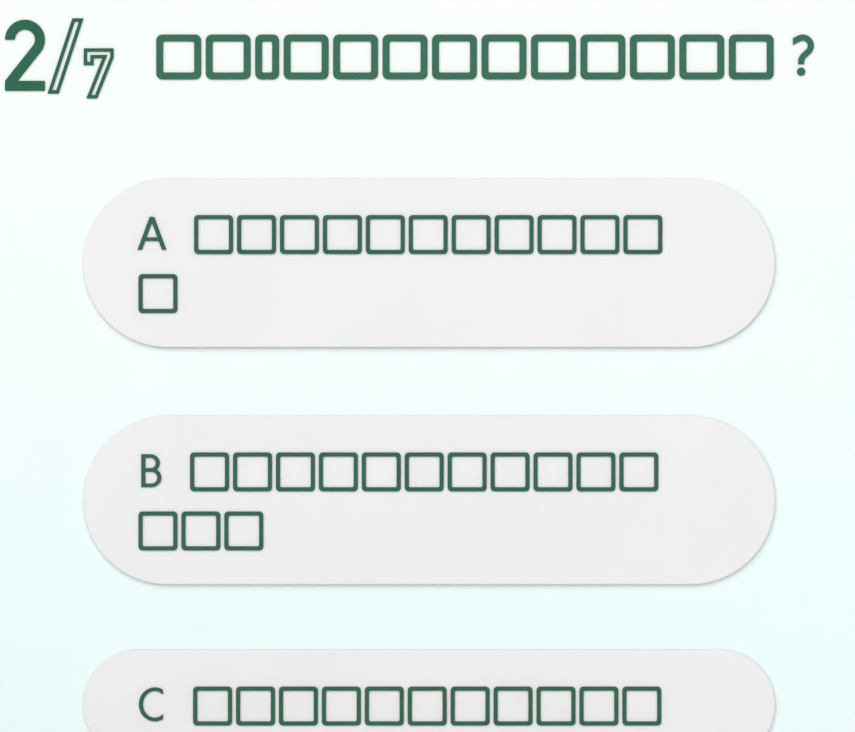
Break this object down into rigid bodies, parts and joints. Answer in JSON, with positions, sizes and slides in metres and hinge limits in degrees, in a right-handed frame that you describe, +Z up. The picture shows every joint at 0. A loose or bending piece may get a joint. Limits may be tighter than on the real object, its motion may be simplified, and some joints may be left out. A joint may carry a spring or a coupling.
{
  "type": "quiz board",
  "caption": "Upright quiz board on a slotted base, with a page counter, a heading row and raised answer plates that carry option letters and blank squares.",
  "frame": {"origin": "on the surface that the board stands on, under the middle of its base", "axes": "+Z up, +X along the board's width to the reader's right, and the board's front faces -Y"},
  "size_m": [0.46, 0.12, 0.45],
  "materials": {
    "base": "oiled beech",
    "panel": "satin lacquered fibreboard, white at the top and pale mint below",
    "plate": "satin acrylic, pale grey",
    "green": "satin acrylic sheet, dark green",
    "steel": "turned steel"
  },
  "bodies": {
    "root": {"stand_base": "base", "panel": "panel", "answer_a_plate": "plate", "answer_b_plate": "plate", "answer_c_plate": "plate", "answer_a_letter": "green", "answer_b_letter": "green", "answer_c_letter": "green", "answer_a_row_1": "green", "answer_a_row_2": "green", "answer_b_row_1": "green", "answer_b_row_2": "green", "answer_c_row_1": "green", "counter_two": "green", "counter_slash": "green", "counter_seven": "green", "question_hook": "green", "question_dot": "green", "heading_row": "green", "answer_a_screw_left": "steel", "answer_a_screw_right": "steel", "answer_b_screw_left": "steel", "answer_b_screw_right": "steel", "answer_c_screw_left": "steel", "answer_c_screw_right": "steel"}
  },
  "joints": []
}
